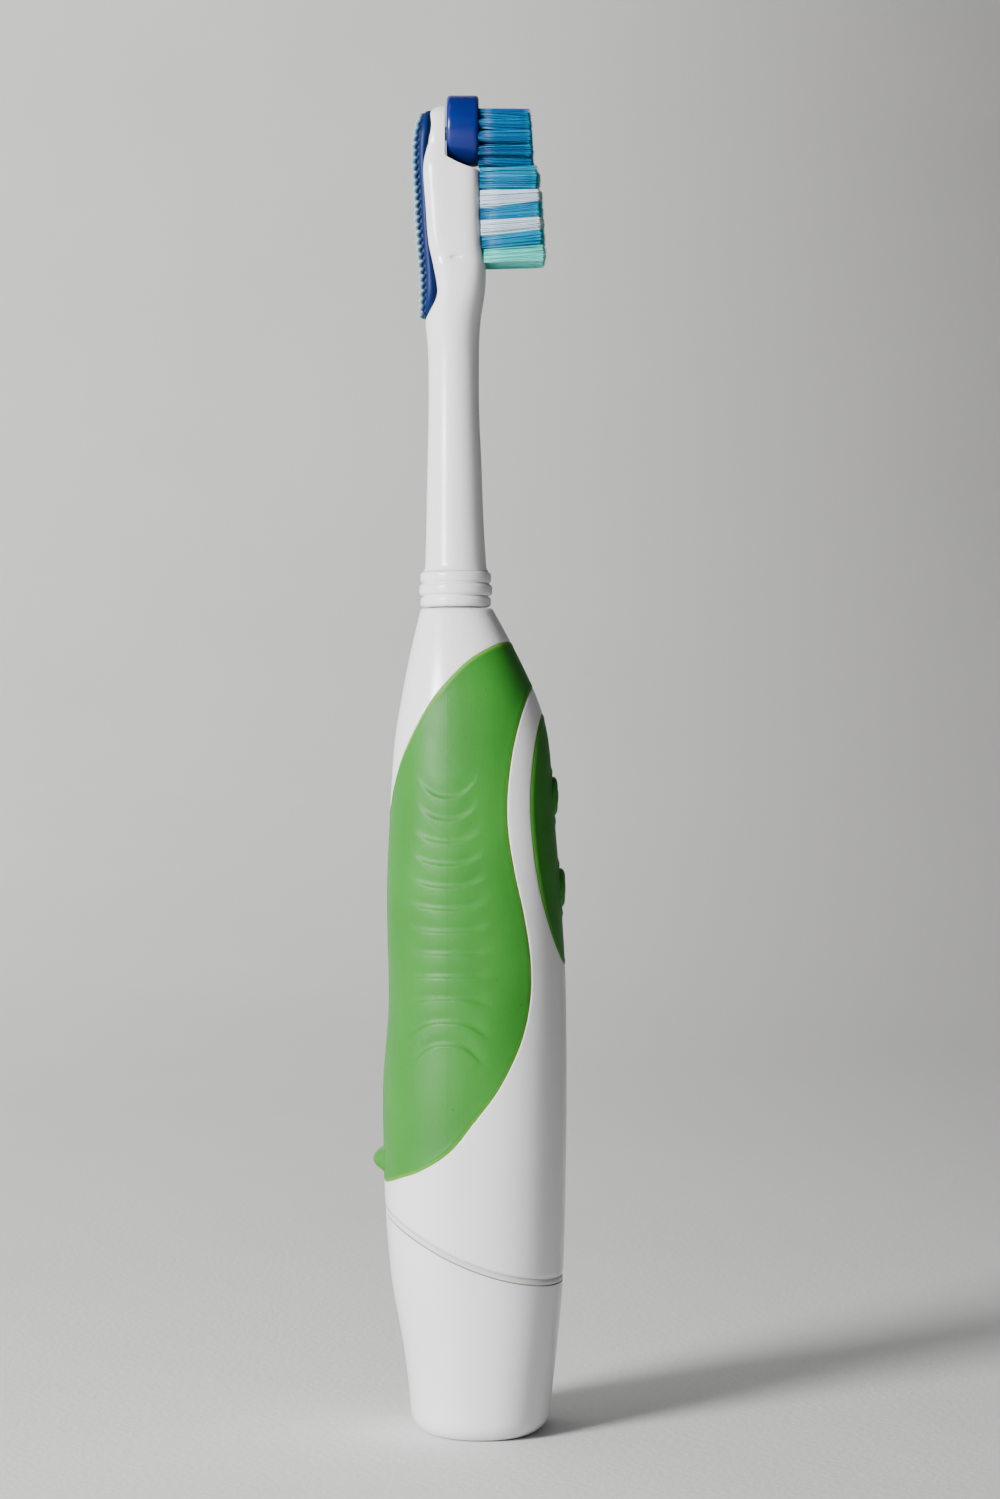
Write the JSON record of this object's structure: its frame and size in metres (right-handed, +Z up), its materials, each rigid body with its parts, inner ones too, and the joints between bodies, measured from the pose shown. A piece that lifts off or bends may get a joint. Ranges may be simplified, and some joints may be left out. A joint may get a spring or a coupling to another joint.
{
  "type": "battery toothbrush",
  "caption": "Upright battery toothbrush with soft grip, push buttons, lift-off brush head, oscillating round bristle disc, tongue-cleaner pad and pull-off base cap over the cells.",
  "frame": {"origin": "centre of the flat underside of the base cap, which the brush stands on", "axes": "+Z up along the brush, -Y towards the bristles and buttons, +Y towards the tongue cleaner, X across"},
  "size_m": [0.034, 0.0341, 0.2351],
  "materials": {
    "white_plastic": "smooth glossy white moulding",
    "green_grip": "satin soft-touch overmould",
    "cap_seal": "soft pale seal ring",
    "blue_plastic": "glossy deep blue",
    "cleaner_pad": "soft pad with rows of fine nubs",
    "bristle_blue": "fine nylon filaments",
    "bristle_teal": "fine nylon filaments",
    "bristle_white": "fine translucent nylon filaments",
    "bristle_mint": "fine nylon filaments",
    "steel": "bright spring and shaft steel",
    "brass": "turned brass",
    "natural_plastic": "unpainted acetal",
    "dark_plastic": "moulded, matt",
    "black_rubber": "matt",
    "circuit_board": "solder mask",
    "red_wire": "vinyl sleeve",
    "magnet": "sintered",
    "winding": "lacquered copper over steel",
    "cell_sleeve": "plain printed film"
  },
  "bodies": {
    "cap": {"battery_cap": "white_plastic", "cap_gasket": "cap_seal", "contact_bridge": "steel", "cap_spring": "steel"},
    "cells": {"cell_left": "cell_sleeve", "cell_right": "cell_sleeve"},
    "handle": {"handle_housing": "white_plastic", "grip_overmould": "green_grip", "button_panel": "green_grip", "contact_carrier": "dark_plastic", "carrier_contact": "steel", "carrier_spring": "steel", "lead_wire_plus": "red_wire", "lead_wire_minus": "black_rubber", "motor_can": "steel", "motor_end_cap": "natural_plastic", "motor_magnet_left": "magnet", "motor_magnet_right": "magnet", "gear_axle": "steel", "chassis_frame": "dark_plastic", "lower_bushing": "brass", "upper_bushing": "brass", "shaft_seal": "black_rubber", "nose_oring": "black_rubber", "switch_board": "circuit_board", "on_switch": "dark_plastic", "off_switch": "dark_plastic"},
    "motor_rotor": {"motor_armature": "winding", "motor_shaft": "steel", "motor_pinion": "brass"},
    "crank": {"crank_gear": "natural_plastic"},
    "drive": {"drive_shaft": "steel", "shaft_yoke": "natural_plastic"},
    "on_push": {"on_button": "green_grip"},
    "off_push": {"off_button": "green_grip"},
    "brush_head": {"head_shell": "white_plastic", "rod_guide": "natural_plastic", "tongue_cleaner": "cleaner_pad", "disc_pin": "steel", "teal_tufts_upper": "bristle_teal", "white_tufts_upper": "bristle_white", "teal_tufts_middle": "bristle_teal", "white_tufts_lower": "bristle_white", "teal_tufts_lower": "bristle_teal", "mint_tufts": "bristle_mint"},
    "link": {"link_socket": "natural_plastic", "link_rod": "steel"},
    "disc": {"head_disc": "blue_plastic", "disc_bristles": "bristle_blue"}
  },
  "joints": [
    {"name": "cap_release", "type": "slide", "parent": "cap", "child": "handle", "axis": [0, 0, 1], "range_m": [0, 0.07]},
    {"name": "cells_slide", "type": "slide", "parent": "handle", "child": "cells", "axis": [0, 0, -1], "range_m": [0, 0.035]},
    {"name": "head_release", "type": "slide", "parent": "handle", "child": "brush_head", "axis": [0, 0, 1], "range_m": [0, 0.05]},
    {"name": "drive_stroke", "type": "slide", "parent": "handle", "child": "drive", "axis": [0, 0, 1], "range_m": [-0.0013, 0.0013]},
    {"name": "link_stroke", "type": "slide", "parent": "brush_head", "child": "link", "axis": [0, 0, 1], "range_m": [-0.0013, 0.0013]},
    {"name": "disc_turn", "type": "hinge", "parent": "brush_head", "child": "disc", "pos_m": [0, 0.003, 0.2288], "axis": [0, 1, 0], "range_deg": [-20.8, 20.8]},
    {"name": "motor_spin", "type": "hinge", "parent": "handle", "child": "motor_rotor", "pos_m": [0, -0.0009, 0.077], "axis": [0, 0, 1], "continuous": true},
    {"name": "crank_spin", "type": "hinge", "parent": "handle", "child": "crank", "pos_m": [0, 0.003, 0.10085], "axis": [0, 1, 0], "continuous": true},
    {"name": "on_press", "type": "slide", "parent": "handle", "child": "on_push", "axis": [0, 1, 0], "range_m": [0, 0.0008], "stiffness_N_per_m": 600},
    {"name": "off_press", "type": "slide", "parent": "handle", "child": "off_push", "axis": [0, 1, 0], "range_m": [0, 0.0008], "stiffness_N_per_m": 600}
  ],
  "couplings": [
    {"joint": "cells_slide", "follows": "cap_release", "ratio": 0.5},
    {"joint": "link_stroke", "follows": "drive_stroke", "ratio": 1},
    {"joint": "disc_turn", "follows": "drive_stroke", "rad_per_m": -277.8},
    {"joint": "crank_spin", "follows": "motor_spin", "ratio": 0.33333}
  ]
}
